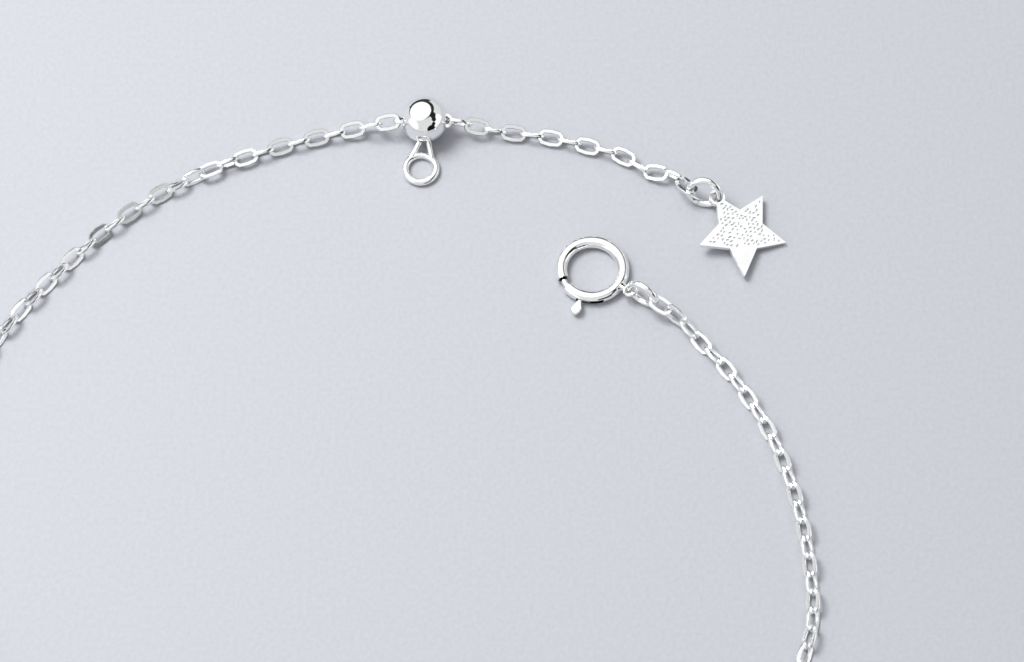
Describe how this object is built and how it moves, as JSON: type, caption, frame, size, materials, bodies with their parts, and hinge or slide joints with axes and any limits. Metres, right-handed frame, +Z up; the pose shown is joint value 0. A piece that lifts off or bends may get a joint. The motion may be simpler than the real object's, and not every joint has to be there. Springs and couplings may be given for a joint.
{
  "type": "chain bracelet",
  "caption": "Fine cable chain bracelet lying as an open loop, with a spring ring clasp, a stopper bead with a ring, and a short free chain ending in a flat star.",
  "frame": {"origin": "under the middle of the whole bracelet, on the surface that it lies on", "axes": "+Z up from the table, +X to the viewer's right, +Y away from the viewer; the wrist loop lies in the XY plane"},
  "size_m": [0.058, 0.0524, 0.0032],
  "materials": {
    "chain_silver": "polished silver wire with flat-cut sides",
    "polished_silver": "mirror polished silver",
    "clasp_silver": "polished silver tube",
    "ring_silver": "polished silver wire",
    "star_silver": "bright satin silver, lightly stippled"
  },
  "bodies": {
    "bracelet": {"main_chain_left": "chain_silver", "main_chain_right": "chain_silver", "extender_chain": "chain_silver", "stopper_bead": "polished_silver", "clasp_tube": "clasp_silver", "clasp_jump_ring": "ring_silver", "star_jump_ring": "ring_silver", "star_tag": "star_silver"},
    "trigger": {"clasp_trigger": "clasp_silver"}
  },
  "joints": [
    {"name": "trigger_slide", "type": "hinge", "parent": "bracelet", "child": "trigger", "pos_m": [0.01453, 0.01379, 0.00043], "axis": [0, 0, 1], "range_deg": [0, 30], "stiffness_Nm_per_rad": 0.000001}
  ]
}
